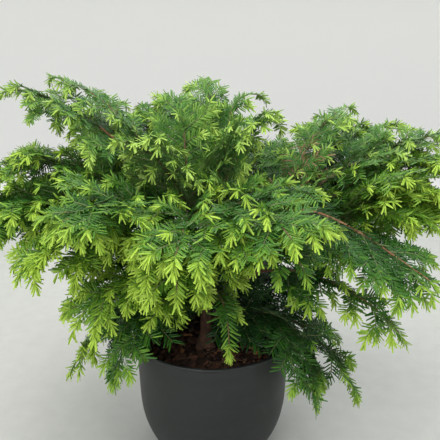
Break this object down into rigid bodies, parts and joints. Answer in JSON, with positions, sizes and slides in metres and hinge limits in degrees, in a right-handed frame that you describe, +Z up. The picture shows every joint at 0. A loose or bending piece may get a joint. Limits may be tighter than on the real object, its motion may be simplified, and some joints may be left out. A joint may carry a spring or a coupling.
{
  "type": "potted dwarf hemlock",
  "caption": "Low spreading dwarf hemlock with arching boughs and drooping flat needle sprays, in a round nursery pot with a rolled-in foot.",
  "frame": {"origin": "centre of the flat underside of the pot, on the surface it stands on", "axes": "+Z up along the pot's axis, -Y towards the plant's front, +X towards its right as seen from the front"},
  "size_m": [0.5408, 0.443, 0.451],
  "materials": {
    "pot_plastic": "satin",
    "bark_mix": "matte",
    "bark": "matte",
    "needles": "satin"
  },
  "bodies": {
    "root": {"bough_middle_back": "bark", "bough_middle_back_left": "bark", "bough_middle_back_right": "bark", "bough_middle_left": "bark", "bough_middle_left_front": "bark", "bough_middle_right": "bark", "bough_middle_right_back": "bark", "bough_middle_right_front": "bark", "bough_top_left": "bark", "bough_top_outer_right": "bark", "bough_upper_back": "bark", "bough_upper_back_left": "bark", "bough_upper_front": "bark", "bough_upper_front_left": "bark", "bough_upper_front_right": "bark", "bough_upper_left": "bark", "bough_upper_right": "bark", "bough_upper_right_back": "bark", "foliage_middle_back": "needles", "foliage_middle_back_left": "needles", "foliage_middle_back_right": "needles", "foliage_middle_front": "needles", "foliage_middle_front_left": "needles", "foliage_middle_front_right": "needles", "foliage_middle_left": "needles", "foliage_middle_left_front": "needles", "foliage_middle_right": "needles", "foliage_middle_right_back": "needles", "foliage_middle_right_front": "needles", "foliage_skirt_back": "needles", "foliage_skirt_back_left": "needles", "foliage_skirt_back_right": "needles", "foliage_skirt_front": "needles", "foliage_skirt_front_left": "needles", "foliage_skirt_front_right": "needles", "foliage_skirt_left": "needles", "foliage_skirt_right": "needles", "foliage_top_back": "needles", "foliage_top_back_right": "needles", "foliage_top_front_left": "needles", "foliage_top_front_right": "needles", "foliage_top_inner": "needles", "foliage_top_inner_left": "needles", "foliage_top_left": "needles", "foliage_top_outer_right": "needles", "foliage_top_right": "needles", "foliage_upper_back": "needles", "foliage_upper_back_left": "needles", "foliage_upper_front": "needles", "foliage_upper_front_inner": "needles", "foliage_upper_front_left": "needles", "foliage_upper_front_right": "needles", "foliage_upper_left": "needles", "foliage_upper_right": "needles", "foliage_upper_right_back": "needles", "pot": "pot_plastic", "soil": "bark_mix", "stem_back": "bark", "stem_right": "bark", "trunk": "bark"}
  },
  "joints": []
}
